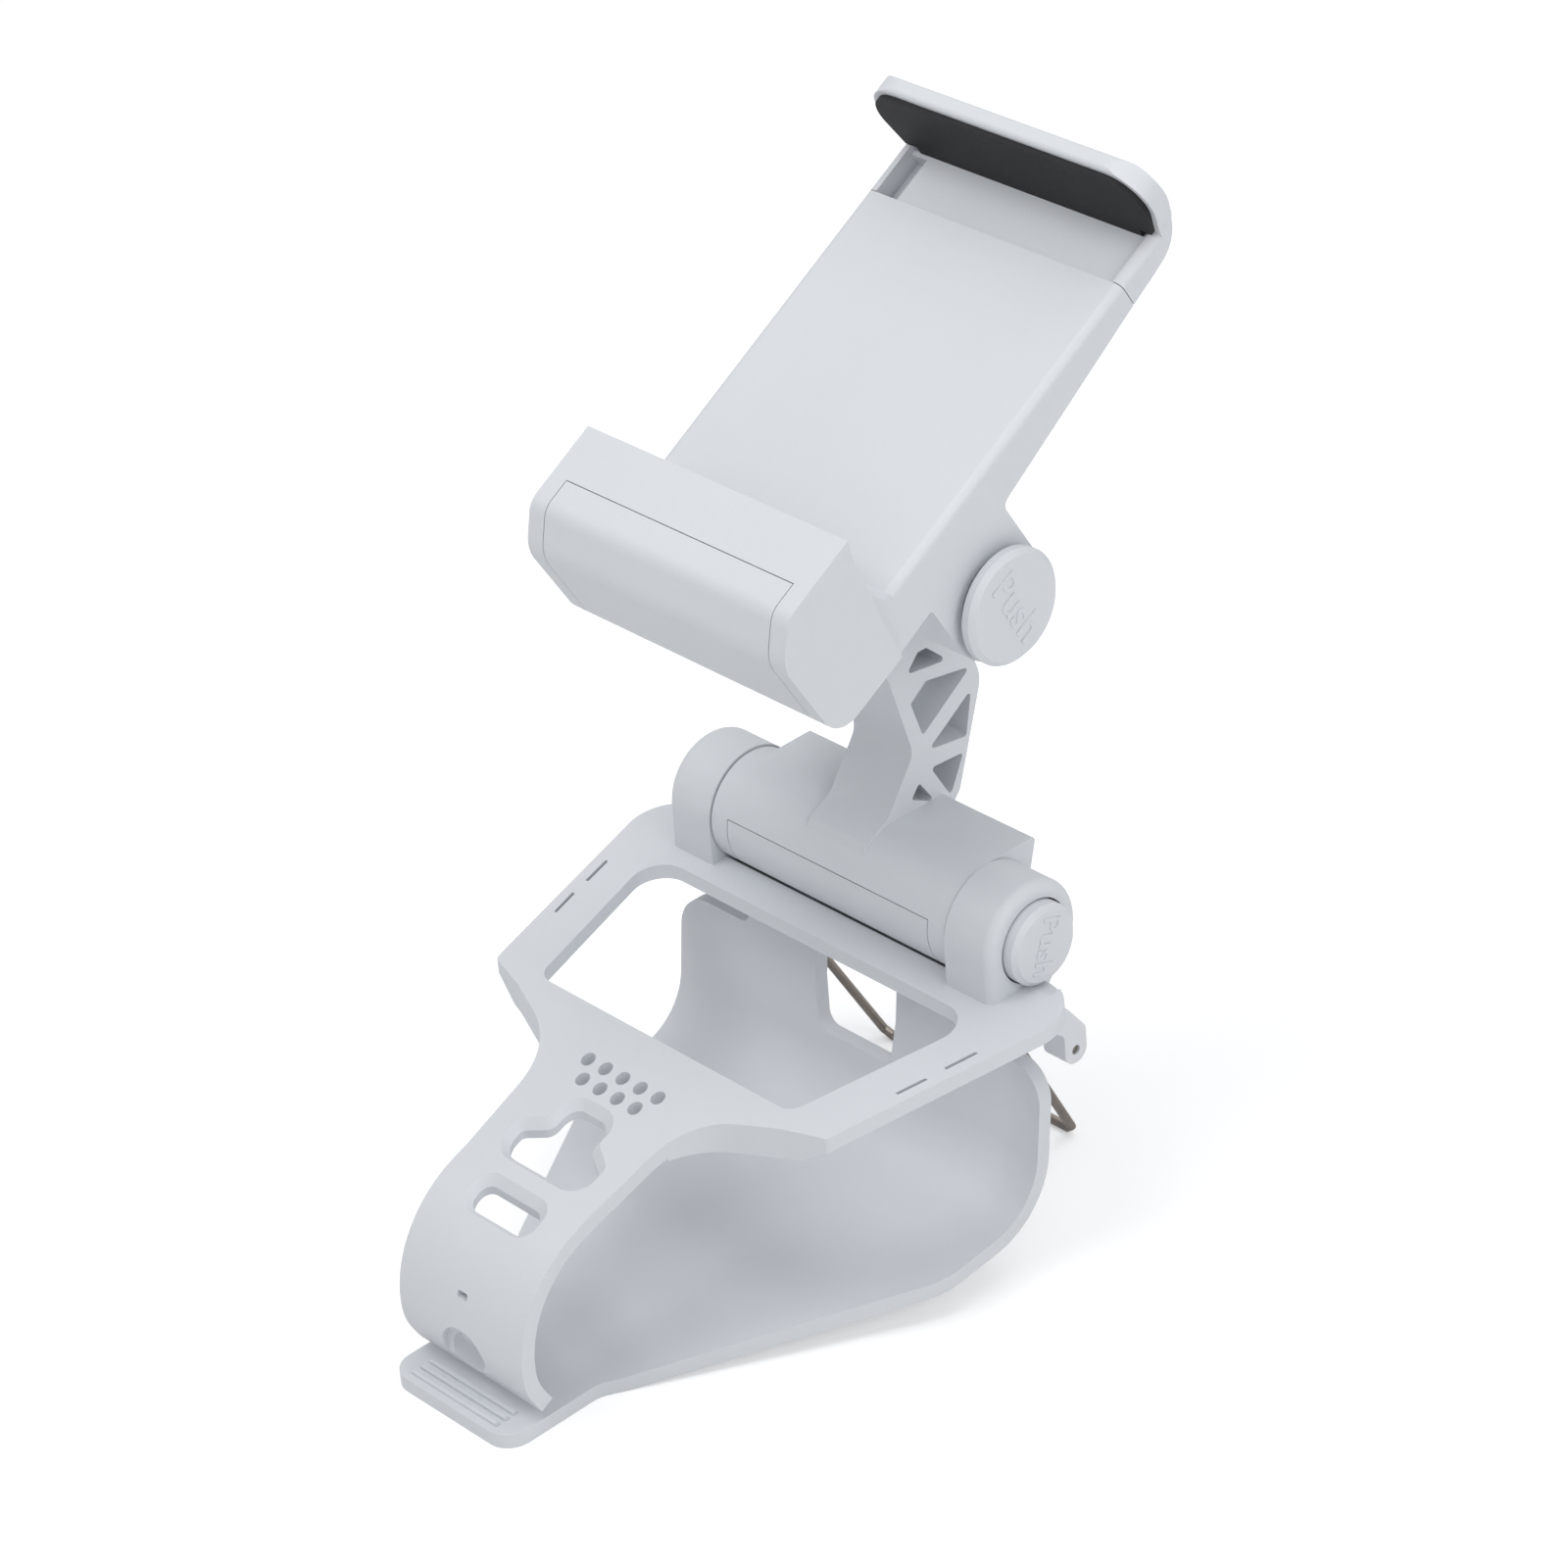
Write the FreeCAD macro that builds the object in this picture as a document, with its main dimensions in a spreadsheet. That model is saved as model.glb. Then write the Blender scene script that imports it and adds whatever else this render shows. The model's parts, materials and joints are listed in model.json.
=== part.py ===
import FreeCAD, Part
import math
import os
import re
import Sketcher

# Phone clip for a game controller: a cradle that snaps over the controller, a hinged arm,
# and a spring-loaded phone holder on a second hinge, with a wire bail that props it on a table.
# Millimetres. The origin is on the floor under the middle of the cradle: +X right, +Y back, +Z up.

doc = FreeCAD.newDocument("controller_phone_clip")

# Driving dimensions

SIZES = [
    ("wall", 2.5, "wall of the cradle's moulding"),
    ("gap", 0.3, "clear gap between pieces that move past each other"),
    ("seam", 0.15, "visible joint line round a cover"),
    ("run_fit", 0.05, "radial clearance of a pin that turns in its hole"),
    ("plate_height", 43.9, "top of the plate above the floor at y = 0"),
    ("plate_slope", 0.1, "rise of the plate towards the back, per millimetre"),
    ("plate_front_half", 36.3, "half width of the plate at its front corners"),
    ("plate_front", -17.8, "y of the plate's front corners"),
    ("plate_spread", 0.234, "widening of the plate towards the back, per millimetre"),
    ("plate_back", 27.8, "y of the plate's back edge"),
    ("plate_corner", 8.0, "rounding of the plate's back corners"),
    ("shoulder_half", 29.0, "half width where the plate's front edge turns a little"),
    ("shoulder_y", -19.9, "y of that turn"),
    ("neck_half", 13.7, "half width of the strap's neck"),
    ("neck_top_half", 14.9, "half width of the neck where it meets the plate"),
    ("neck_top_y", -25.7, "y of that place"),
    ("neck_round", 12.0, "rounding from the neck to the plate's front edge"),
    ("strap_slope", 0.378, "fall of the strap towards the front, per millimetre"),
    ("bend_y", -19.8, "y where the plate bends into the strap"),
    ("bend_round", 40.0, "radius of that bend"),
    ("curl_front", -60.4, "y of the front of the strap's curl"),
    ("curl_round", 20.0, "outer radius of the curl"),
    ("window_front", -16.8, "y of the window's front edge"),
    ("window_front_half", 27.5, "half width of the window at its front edge"),
    ("window_back", 14.6, "y of the window's back edge"),
    ("window_spread", 0.25, "widening of the window towards the back, per millimetre"),
    ("tab_front", -64.5, "y of the finger tab's front edge"),
    ("tab_half", 13.4, "half width of the finger tab"),
    ("floor_back", -43.0, "y where the underside leaves the floor"),
    ("shell_slope", 0.113, "rise of the underside towards the back, per millimetre"),
    ("shell_half", 39.4, "half width of the lower shell at the back"),
    ("shell_top", 33.0, "height of the back wall's shoulders"),
    ("back_lean", 0.115, "lean of the back wall towards the back, per millimetre of height"),
    ("port_half", 8.8, "half width of the socket window in the back wall"),
    ("port_low", 21.2, "height of that window's sill"),
    ("ear_round", 9.4, "radius of the ears about the lower hinge"),
    ("ear_rounding", 1.8, "rounding of the ears' outer edges"),
    ("ear_wall", 9.5, "thickness of the ears"),
    ("hinge_y", 27.3, "y of the lower hinge"),
    ("hinge_z", 52.9, "height of the lower hinge"),
    ("barrel_round", 9.1, "radius of the arm's barrel"),
    ("barrel_half", 25.2, "half length of the barrel"),
    ("cover_wall", 1.5, "thickness of the covers"),
    ("arm_half", 6.2, "half width of the arm"),
    ("arm_web_half", 0.8, "half thickness of the web between the arm's pockets"),
    ("reach", 5.3, "upper hinge ahead of the lower one, along +Y"),
    ("rise", 52.4, "upper hinge above the lower one"),
    ("knuckle_round", 8.8, "radius of the arm's upper knuckle"),
    ("stem_round", 4.0, "radius of the push buttons' stems"),
    ("pin_round", 2.0, "radius of the steel hinge pins"),
    ("lower_button_round", 6.6, "radius of the lower push button"),
    ("upper_button_round", 9.1, "radius of the upper push button"),
    ("tilt", 30.54, "tilt of the holder back from level, degrees"),
    ("holder_half", 26.0, "half width of the holder"),
    ("holder_face", 19.9, "the holder's front face above the upper hinge"),
    ("holder_end", 44.3, "end of the holder's tray beyond the upper hinge"),
    ("holder_skin", 1.2, "thickness of the tray's front skin"),
    ("housing_round", 9.3, "radius of the housing round the upper hinge"),
    ("jaw_out", 32.9, "lower jaw's outer face below the upper hinge"),
    ("lip_height", 15.1, "height of the lower lip above the tray's face"),
    ("slide_skin", 1.6, "thickness of the slide's tongue"),
    ("tongue_length", 20.0, "length of the tongue inside the tray"),
    ("upper_lip_out", 57.3, "outer face of the upper lip beyond the upper hinge"),
    ("upper_lip_wall", 3.2, "thickness of the upper lip"),
    ("upper_lip_height", 13.1, "height of the upper lip above the tray's face"),
    ("pad_thickness", 0.8, "thickness of the rubber grip pads"),
    ("wire_round", 0.75, "radius of the bail's wire"),
    ("bail_y", 28.6, "y of the bail's pivot"),
    ("bail_z", 35.4, "height of the bail's pivot"),
    ("bail_angle", 28.8, "lean of the bail's legs from upright, degrees"),
    ("bail_top_half", 23.6, "half spread of the bail's legs at the pivot"),
    ("bail_foot_half", 20.9, "half spread of the bail's legs at the floor"),
    ("lug_inside", 36.8, "x of the bail lugs' inner faces"),
    ("lug_outside", 41.3, "x of the bail lugs' outer faces"),
    ("lug_round", 2.3, "radius of the bail lugs"),
    ("wall_back", 25.4, "y of the back wall's outer face at its shoulders"),
    ("web_half", 24.0, "half width of the web that joins the back wall to the plate"),
    ("skirt", 5.2, "depth of the plate's edge at its front corners"),
    ("skirt_wall", 2.4, "thickness of that deeper edge"),
    ("opening_bevel", 1.25, "bevel round the two openings in the strap"),
    ("mid_depth", 3.6, "y of the origin from the drawings' own origin, at half the part's depth"),
]

sheet = doc.addObject("Spreadsheet::Sheet", "Sizes")
for row, (word, value, meaning) in enumerate(SIZES, start=1):
    sheet.set("A%d" % row, word)
    sheet.set("B%d" % row, str(value))
    sheet.set("C%d" % row, meaning)
    sheet.setAlias("B%d" % row, word)
doc.recompute()

# Sizes that follow from the driving ones

FOLLOWING = {
    "ear_inside": "(barrel_half + gap)",
    "ear_outside": "(barrel_half + gap + ear_wall)",
    "recess_floor": "(barrel_half + gap + 2.8)",
    "lower_button_out": "(barrel_half + gap + ear_wall + 2.4)",
    "barrel_cover_half": "(barrel_half - 3.6)",
    "jaw_half": "(holder_half + 1)",
    "jaw_cover_half": "(holder_half - 2.4)",
    "tray_inside": "(holder_half - 2.4)",
    "tongue_half": "(holder_half - 5)",
    "upper_lip_half": "(holder_half + 4.2)",
    "upper_recess_floor": "(holder_half - 9)",
    "upper_button_out": "(holder_half + 3.5)"}

FUNCTIONS = ("sin", "cos", "tan", "sqrt", "max", "min")


def spelled(formula):
    """The formula with each following size written out in driving ones."""
    return re.sub(r"[a-z][a-z_]*", lambda match: FOLLOWING.get(match.group(0), match.group(0)), formula)


def bound(formula):
    """The formula as another object of the document has to write it."""
    def prefix(match):
        word = match.group(0)
        return word if word in FUNCTIONS else "Sizes." + word
    return re.sub(r"[a-z][a-z_]*", prefix, spelled(formula))


def size(formula):
    """The value of a formula, or the number itself."""
    if isinstance(formula, (int, float)):
        return float(formula)
    return float(sheet.evalExpression(spelled(formula)))


def drive(thing, prop, formula):
    """Bind a property to a formula of the size sheet."""
    if isinstance(formula, (int, float)):
        formula = repr(float(formula))
    thing.setExpression(prop, bound(formula))


# Sketches

def tie(sketch, kind, index, point, formula):
    """Fix one coordinate of a point in a sketch."""
    number = sketch.addConstraint(
        Sketcher.Constraint(kind, -1, 1, index, point, size(formula)))
    if not isinstance(formula, (int, float)):
        drive(sketch, "Constraints[%d]" % number, formula)


def new_sketch(body, name, plane, lift):
    """An empty sketch on one of the body's own planes, moved along the plane's normal."""
    sketch = body.newObject("Sketcher::SketchObject", name)
    base = [item for item in body.Origin.OriginFeatures if item.Role == plane][0]
    sketch.AttachmentSupport = [(base, "")]
    sketch.MapMode = "FlatFace"
    drive(sketch, "AttachmentOffset.Base.z", lift)
    return sketch


def draw_circle(sketch, across, up, radius):
    centre = FreeCAD.Vector(size(across), size(up), 0)
    ring = Part.Circle(centre, FreeCAD.Vector(0, 0, 1), size(radius))
    index = sketch.addGeometry(ring, False)
    tie(sketch, "DistanceX", index, 3, across)
    tie(sketch, "DistanceY", index, 3, up)
    number = sketch.addConstraint(Sketcher.Constraint("Radius", index, size(radius)))
    if not isinstance(radius, (int, float)):
        drive(sketch, "Constraints[%d]" % number, radius)


def draw_loop(sketch, corners, closed=True):
    """Straight lines through the corners; a corner with a third value is rounded by it."""
    count = len(corners)
    points = [FreeCAD.Vector(size(c[0]), size(c[1]), 0) for c in corners]
    radii = [size(c[2]) if len(c) > 2 else 0.0 for c in corners]
    enter, leave, arcs = list(points), list(points), {}
    for i in range(count):
        if radii[i] <= 0:
            continue
        before = (points[i - 1] - points[i]).normalize()
        after = (points[(i + 1) % count] - points[i]).normalize()
        half = before.getAngle(after) / 2
        reach = radii[i] / math.tan(half)
        enter[i] = points[i] + before * reach
        leave[i] = points[i] + after * reach
        middle = (before + after).normalize() * (radii[i] / math.sin(half)) + points[i]
        turn = (points[i] - points[i - 1]).cross(points[(i + 1) % count] - points[i]).z
        first, last = (enter[i], leave[i]) if turn > 0 else (leave[i], enter[i])
        start = math.atan2(first.y - middle.y, first.x - middle.x)
        end = math.atan2(last.y - middle.y, last.x - middle.x)
        if end <= start:
            end += 2 * math.pi
        ring = Part.Circle(middle, FreeCAD.Vector(0, 0, 1), radii[i])
        arcs[i] = (sketch.addGeometry(Part.ArcOfCircle(ring, start, end), False), turn > 0)
    spans = count if closed else count - 1
    lines = []
    for i in range(spans):
        j = (i + 1) % count
        lines.append(sketch.addGeometry(Part.LineSegment(leave[i], enter[j]), False))
    for i in range(count):
        has_before = closed or i > 0
        has_after = closed or i < count - 1
        before_line = lines[(i - 1) % spans] if has_before else None
        after_line = lines[i % spans] if has_after else None
        if i in arcs:
            arc, forward = arcs[i]
            near, far = (1, 2) if forward else (2, 1)
            mark = sketch.addGeometry(Part.Point(points[i]), True)
            sketch.addConstraint([
                Sketcher.Constraint("Tangent", before_line, 2, arc, near),
                Sketcher.Constraint("Tangent", after_line, 1, arc, far),
                Sketcher.Constraint("PointOnObject", mark, 1, before_line),
                Sketcher.Constraint("PointOnObject", mark, 1, after_line)])
            number = sketch.addConstraint(Sketcher.Constraint("Radius", arc, radii[i]))
            if not isinstance(corners[i][2], (int, float)):
                drive(sketch, "Constraints[%d]" % number, corners[i][2])
            tie(sketch, "DistanceX", mark, 1, corners[i][0])
            tie(sketch, "DistanceY", mark, 1, corners[i][1])
        else:
            if before_line is not None and after_line is not None:
                sketch.addConstraint(
                    Sketcher.Constraint("Coincident", before_line, 2, after_line, 1))
            if after_line is not None:
                tie(sketch, "DistanceX", after_line, 1, corners[i][0])
                tie(sketch, "DistanceY", after_line, 1, corners[i][1])
            else:
                tie(sketch, "DistanceX", before_line, 2, corners[i][0])
                tie(sketch, "DistanceY", before_line, 2, corners[i][1])


def minus(formula):
    """The same length the other way."""
    return -formula if isinstance(formula, (int, float)) else "-(%s)" % formula


def mirrored(corners):
    """The same outline on the other side of the sketch's upright axis."""
    return [(minus(c[0]),) + tuple(c[1:]) for c in reversed(corners)]


def both_sides(corners):
    """A whole outline from its right half, which runs from the middle line to the middle line."""
    return list(corners) + mirrored(corners)


def offset(corners, distance):
    """The open outline moved to its left by a distance, with its roundings changed to match."""
    points = [FreeCAD.Vector(size(c[0]), size(c[1]), 0) for c in corners]
    normals = []
    for here, there in zip(points, points[1:]):
        way = (there - here).normalize()
        normals.append(FreeCAD.Vector(-way.y, way.x, 0))
    moved = []
    for i, corner in enumerate(corners):
        one = normals[max(i - 1, 0)]
        two = normals[min(i, len(normals) - 1)]
        spot = points[i] + (one + two) * (distance / (1 + one.dot(two)))
        if len(corner) > 2:
            turn = one.cross(two).z
            change = -distance if turn > 0 else distance
            moved.append((spot.x, spot.y, max(size(corner[2]) + change, 0.3)))
        else:
            moved.append((spot.x, spot.y))
    return moved


def ribbon(corners, thickness):
    """A closed outline of even thickness along an open line; the thickness goes to its left."""
    return list(corners) + list(reversed(offset(corners, size(thickness))))


# Solids

PLANE_OF = {"x": "YZ_Plane", "y": "XZ_Plane", "z": "XY_Plane"}


def new_body(name):
    return doc.addObject("PartDesign::Body", name)


def layer(body, kind, name, axis, low, high, loops=(), circles=()):
    """Pad or pocket the loops and circles between two levels of one axis."""
    length = "(%s) - (%s)" % (high, low)
    lift = minus(high) if axis == "y" else low
    sketch = new_sketch(body, name + "_outline", PLANE_OF[axis], lift)
    for loop in loops:
        draw_loop(sketch, loop)
    for across, up, radius in circles:
        draw_circle(sketch, across, up, radius)
    feature = body.newObject("PartDesign::" + kind, name)
    feature.Profile = sketch
    drive(feature, "Length", length)
    feature.Reversed = kind == "Pocket"
    sketch.Visibility = False
    doc.recompute()
    return feature


def pad(body, name, axis, low, high, loops=(), circles=()):
    return layer(body, "Pad", name, axis, low, high, loops, circles)


def pocket(body, name, axis, low, high, loops=(), circles=()):
    return layer(body, "Pocket", name, axis, low, high, loops, circles)


def trim(body, name, axis, low, high, loops, around=150):
    """Cut away all that lies outside the loops, between two levels of one axis."""
    frame = [(-around, -around), (around, -around), (around, around), (-around, around)]
    return pocket(body, name, axis, low, high, [frame] + list(loops))


def soften(body, name, radius, chosen, kind="Fillet", second=None):
    """Round or bevel the edges of the body for which chosen(edge) is true."""
    tip = body.Tip
    edges = ["Edge%d" % (i + 1) for i, edge in enumerate(tip.Shape.Edges) if chosen(edge)]
    feature = body.newObject("PartDesign::" + kind, name)
    feature.Base = (tip, edges)
    drive(feature, "Radius" if kind == "Fillet" else "Size", radius)
    if second is not None:
        feature.ChamferType = "Two distances"
        drive(feature, "Size2", second)
    doc.recompute()
    return feature


def join(kind, name, things):
    """A boolean of several bodies."""
    if kind == "Cut":
        feature = doc.addObject("Part::Cut", name)
        feature.Base, feature.Tool = things
    else:
        feature = doc.addObject("Part::Multi" + kind, name)
        feature.Shapes = things
    feature.Refine = True
    doc.recompute()
    return feature


def put(thing, y=0, z=0, turn=0, x=0):
    """Place a finished piece by its own origin and its turn about X."""
    back = "%s - mid_depth" % y
    thing.Placement = FreeCAD.Placement(
        FreeCAD.Vector(size(x), size(back), size(z)),
        FreeCAD.Rotation(FreeCAD.Vector(1, 0, 0), size(turn)))
    drive(thing, "Placement.Base.x", x)
    drive(thing, "Placement.Base.y", back)
    drive(thing, "Placement.Base.z", z)
    drive(thing, "Placement.Rotation.Angle", turn)


def coil(name, radius, wire, length, turns):
    """A helical spring along Z that stands on z = 0, with flat spans and a six-sided wire."""
    spans = 10 * turns
    corners = []
    for i in range(spans + 1):
        angle = 2 * math.pi * i / 10
        lift = wire + (length - 2 * wire) * i / spans
        corners.append(FreeCAD.Vector(radius * math.cos(angle), radius * math.sin(angle), lift))
    path = doc.addObject("Part::Feature", name + "_path")
    path.Shape = Part.makePolygon(corners)
    section = doc.addObject("Part::RegularPolygon", name + "_section")
    section.Polygon = 6
    section.Circumradius = wire
    section.Placement = FreeCAD.Placement(
        corners[0], FreeCAD.Rotation(FreeCAD.Vector(0, 0, 1), corners[1] - corners[0]))
    sweep = doc.addObject("Part::Sweep", name)
    sweep.Sections = [section]
    sweep.Spine = (path, ["Edge%d" % (i + 1) for i in range(spans)])
    sweep.Solid = True
    sweep.Transition = "Right corner"
    doc.recompute()
    return sweep


nodes = []


def keep(thing, label):
    """Mark a finished piece; its label names its file."""
    thing.Label = label
    nodes.append(thing)
    return thing


# Cradle: the strap and the plate are one band, bent in side view and trimmed in plan

PLATE_TOP = "(plate_height + plate_slope * (%s))"
bend_z = PLATE_TOP % "bend_y"
curl_corner_z = "(%s) + strap_slope * (curl_front - bend_y)" % bend_z
back_half = "plate_front_half + plate_spread * (plate_back - plate_front)"

strap_line = [
    ("plate_back", PLATE_TOP % "plate_back"),
    ("bend_y", bend_z, "bend_round"),
    ("curl_front", curl_corner_z, "curl_round"),
    ("curl_front", 9.0, 12.0),
    ("curl_front + 2.8", 4.2)]
strap = new_body("strap")
pad(strap, "band", "x", -50, 50, [ribbon(strap_line, "wall")])
plan = both_sides([
    ("neck_half", -80),
    ("neck_half", -44.5, 25.0),
    ("neck_top_half", "neck_top_y", "neck_round"),
    ("shoulder_half", "shoulder_y", 15.0),
    ("plate_front_half", "plate_front", 1.0),
    (back_half, "plate_back", "plate_corner")])
trim(strap, "plan", "z", -5, 60, [plan])


def outer_gap(spot):
    """How far a point lies from the band's outer surface, in side view."""
    curl_y = size("curl_front + curl_round")
    slope = size("strap_slope")
    plate = size("plate_height") + size("plate_slope") * spot.y
    ramp = size(bend_z) + slope * (spot.y - size("bend_y"))
    curl_z = size(bend_z) + slope * (curl_y - size("bend_y"))
    curl_z -= size("curl_round") * math.sqrt(1 + slope ** 2)
    ring = math.hypot(spot.y - curl_y, spot.z - curl_z) - size("curl_round")
    return min(abs(spot.z - plate), abs(spot.z - ramp), abs(ring))


def middle_of(edge):
    return edge.valueAt((edge.FirstParameter + edge.LastParameter) / 2)


window = both_sides([
    ("window_front_half", "window_front", 3.0),
    ("window_front_half + window_spread * (window_back - window_front)", "window_back", 5.0)])
pocket(strap, "window", "z", 20, 60, [window])

sound_holes = [(3.83 * i, -24.9, 1.15) for i in range(-2, 3)]
sound_holes += [(3.83 * (i + 0.5), -27.9, 1.15) for i in range(-2, 2)]
pocket(strap, "sound_holes", "z", 20, 60, circles=sound_holes)

vents = []
for x, y, dx, dy in ((37.0, -4.6, 1.2, 5.0), (38.8, 3.7, 1.2, 5.4)):
    vent = [(x, y), (x + 0.6, y), (x + dx + 0.6, y + dy), (x + dx, y + dy)]
    vents += [vent, mirrored(vent)]
pocket(strap, "vents", "z", 20, 60, vents)

trefoil = both_sides([
    (8.5, -42.4, 3.0),
    (8.5, -38.1, 1.0),
    (4.2, -35.8, 2.0),
    (4.2, -31.2, 2.4)])
slot = both_sides([(6.4, -51.4, 1.95), (6.4, -47.2, 1.95)])
pocket(strap, "strap_openings", "z", 20, 60, [trefoil, slot])


def round_opening(edge):
    """True for the upper edges of the two openings in the strap."""
    spot = middle_of(edge)
    return abs(spot.x) < 8.6 and -51.5 < spot.y < -31 and outer_gap(spot) < 0.1


soften(strap, "opening_bevels", "opening_bevel", round_opening, "Chamfer")
mic = both_sides([(1.1, 18.9, 0.45), (1.1, 20.1, 0.45)])
pocket(strap, "front_holes", "y", -70, -50, [mic], [(0, 8.9, 3.5)])
pocket(strap, "front_dish", "y", -70, "curl_front + 1.1", circles=[(0, 8.9, 4.9)])
tip = both_sides([("neck_half", 0, 3.5), ("neck_half", 60)])
trim(strap, "tip", "y", -70, -46, [tip])

# The deeper edge at the plate's front corners: a strip along the plan, deepest near the corner

skirts = new_body("skirts")
pad(skirts, "skirt_band", "x", -50, 50, [ribbon(strap_line[:3], "skirt + 2")])
strip = [
    ("neck_half", -44.5),
    ("neck_top_half", "neck_top_y", "neck_round"),
    ("shoulder_half", "shoulder_y", 15.0),
    ("plate_front_half", "plate_front", 1.0),
    ("plate_front_half + plate_spread * 4", "plate_front + 4"),
    ("plate_front_half + plate_spread * 4 - skirt_wall", "plate_front + 4"),
    ("plate_front_half - skirt_wall", "plate_front + skirt_wall"),
    ("shoulder_half - 0.8", "shoulder_y + skirt_wall"),
    ("neck_top_half - skirt_wall", "neck_top_y + 1.4"),
    ("neck_half - skirt_wall", -44.5)]
trim(skirts, "strips", "z", -5, 60, [strip, mirrored(strip)])
low_edge = [
    ("neck_top_half + 0.1", 34.9),
    ("shoulder_half + 2.2", "plate_height - skirt - 2.2", 4.0),
    ("plate_front_half - 0.3", "plate_height - 4.3"),
    ("plate_front_half - 0.3", 60),
    ("neck_top_half + 0.1", 60)]
trim(skirts, "low_edges", "y", -60, 0, [low_edge, mirrored(low_edge)])

# Lower shell: floor, back wall and finger tab

corner_y = ("(wall_back - back_lean * (shell_top + shell_slope * floor_back))"
            " / (1 - back_lean * shell_slope)")
corner_z = "shell_slope * ((%s) - floor_back)" % corner_y
shell_line = [
    ("tab_front", 0),
    ("floor_back", 0, 6.0),
    (corner_y, corner_z, 13.5),
    ("wall_back + back_lean * (40 - shell_top)", 40)]
shell = new_body("shell")
pad(shell, "shell_band", "x", -50, 50, [ribbon(shell_line, "wall")])
shell_plan = both_sides([
    ("tab_half", "tab_front", 4.0),
    ("tab_half", -46.3, 5.0),
    ("shell_half", 0.7, 12.0),
    ("shell_half", 60)])
trim(shell, "shell_plan", "z", -5, 60, [shell_plan])
wall_view = both_sides([
    ("shell_half", -5),
    ("shell_half", "shell_top", 6.0),
    ("web_half", "shell_top", 1.5),
    ("web_half", 60)])
trim(shell, "wall_view", "y", 0, 60, [wall_view])
port = both_sides([
    ("port_half - 1", "port_low", 2.5),
    ("port_half", "port_low + 8"),
    ("port_half", 38.4, 1.0)])
pocket(shell, "port_window", "y", 10, 60, [port])
ribs = []
for i in range(3):
    start = "tab_front + %.1f" % (1.3 + 1.7 * i)
    ribs.append([(start, 2.0), (start + " + 0.9", 2.0), (start + " + 0.9", 3.1, 0.3), (start, 3.1, 0.3)])
for i, rib in enumerate(ribs):
    pad(shell, "tab_rib_%d" % (i + 1), "x", -9.5, 9.5, [rib])

# Back bar, ears and bail lugs

frame = new_body("frame")
bar = [
    ("window_back", PLATE_TOP % "window_back - 2.4"),
    (18, 41.0, 2.0),
    (24, 38.2, 2.0),
    ("plate_back", 37.6, 1.0),
    ("plate_back", PLATE_TOP % "plate_back"),
    ("window_back", PLATE_TOP % "window_back")]
pad(frame, "back_bar", "x", "-lug_inside - 1", "lug_inside + 1", [bar])
ear_line = [
    ("hinge_y - ear_round", 41.5),
    (29.5, 41.5),
    ("hinge_y + ear_round", "hinge_z - 2.5", 6.0),
    ("hinge_y + ear_round", "hinge_z + ear_round", "ear_round - 0.05"),
    ("hinge_y - ear_round", "hinge_z + ear_round", "ear_round - 0.05")]
ears = []
for side, low, high in (("right", "ear_inside", "ear_outside"), ("left", "-ear_outside", "-ear_inside")):
    ear = new_body(side + "_ear")
    pad(ear, side + "_ear_block", "x", low, high, [ear_line])
    soften(ear, side + "_ear_rounding", "ear_rounding", lambda edge: (
        edge.BoundBox.XLength < 0.01 and edge.BoundBox.ZMax > 42
        and abs(abs(edge.BoundBox.XMin) - size("ear_outside")) < 0.01))
    ears.append(ear)
lug = [
    (23.0, 44.0),
    (23.0, 41.4),
    ("bail_y - lug_round", 39.0, 1.5),
    ("bail_y - lug_round", "bail_z - lug_round", "lug_round - 0.05"),
    ("bail_y + lug_round", "bail_z - lug_round", "lug_round - 0.05"),
    ("bail_y + lug_round", 38.6, 2.2),
    (27.2, 43.5, 1.0)]
pad(frame, "right_lug", "x", "lug_inside", "lug_outside", [lug])
pad(frame, "left_lug", "x", "-lug_outside", "-lug_inside", [lug])

hinge = ("hinge_y", "hinge_z")
bores = new_body("bores")
pad(bores, "scoop", "x", "-ear_inside", "ear_inside", circles=[hinge + ("barrel_round + gap + 0.1",)])
pad(bores, "stem_bore", "x", "ear_inside - 2", "recess_floor", circles=[hinge + ("stem_round + run_fit",)])
pad(bores, "button_recess", "x", "recess_floor", "ear_outside + 5", circles=[hinge + ("lower_button_round + gap",)])
pad(bores, "pin_bore", "x", "-ear_outside + 3", "-ear_inside + 2", circles=[hinge + ("pin_round",)])
pad(bores, "head_recess", "x", "-ear_outside + 1", "-ear_outside + 3.5", circles=[hinge + (4.0,)])
pad(bores, "cap_recess", "x", "-ear_outside - 5", "-ear_outside + 1", circles=[hinge + ("lower_button_round + seam",)])
ridge_room = [
    ("hinge_y - 3", "hinge_z"),
    ("hinge_y + 30", "hinge_z - 30"),
    ("hinge_y + 30", "hinge_z + 20"),
    ("hinge_y - 3", "hinge_z + 20")]
pad(bores, "ridge_room", "x", "-ear_inside", "ear_inside", [ridge_room])

lug_bore = new_body("lug_bore")
pad(lug_bore, "lug_bore_pin", "x", -50, 50, circles=[("bail_y", "bail_z", "wire_round + run_fit")])

cradle_sum = join("Fuse", "cradle_sum", [strap, skirts, shell, frame] + ears)
cradle_bored = join("Cut", "cradle_bored", [cradle_sum, bores])
cradle = join("Cut", "cradle_cut", [cradle_bored, lug_bore])
put(cradle)
keep(cradle, "cradle")

# Arm, drawn about the lower hinge: barrel, strut with truss pockets, and upper knuckle

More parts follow.
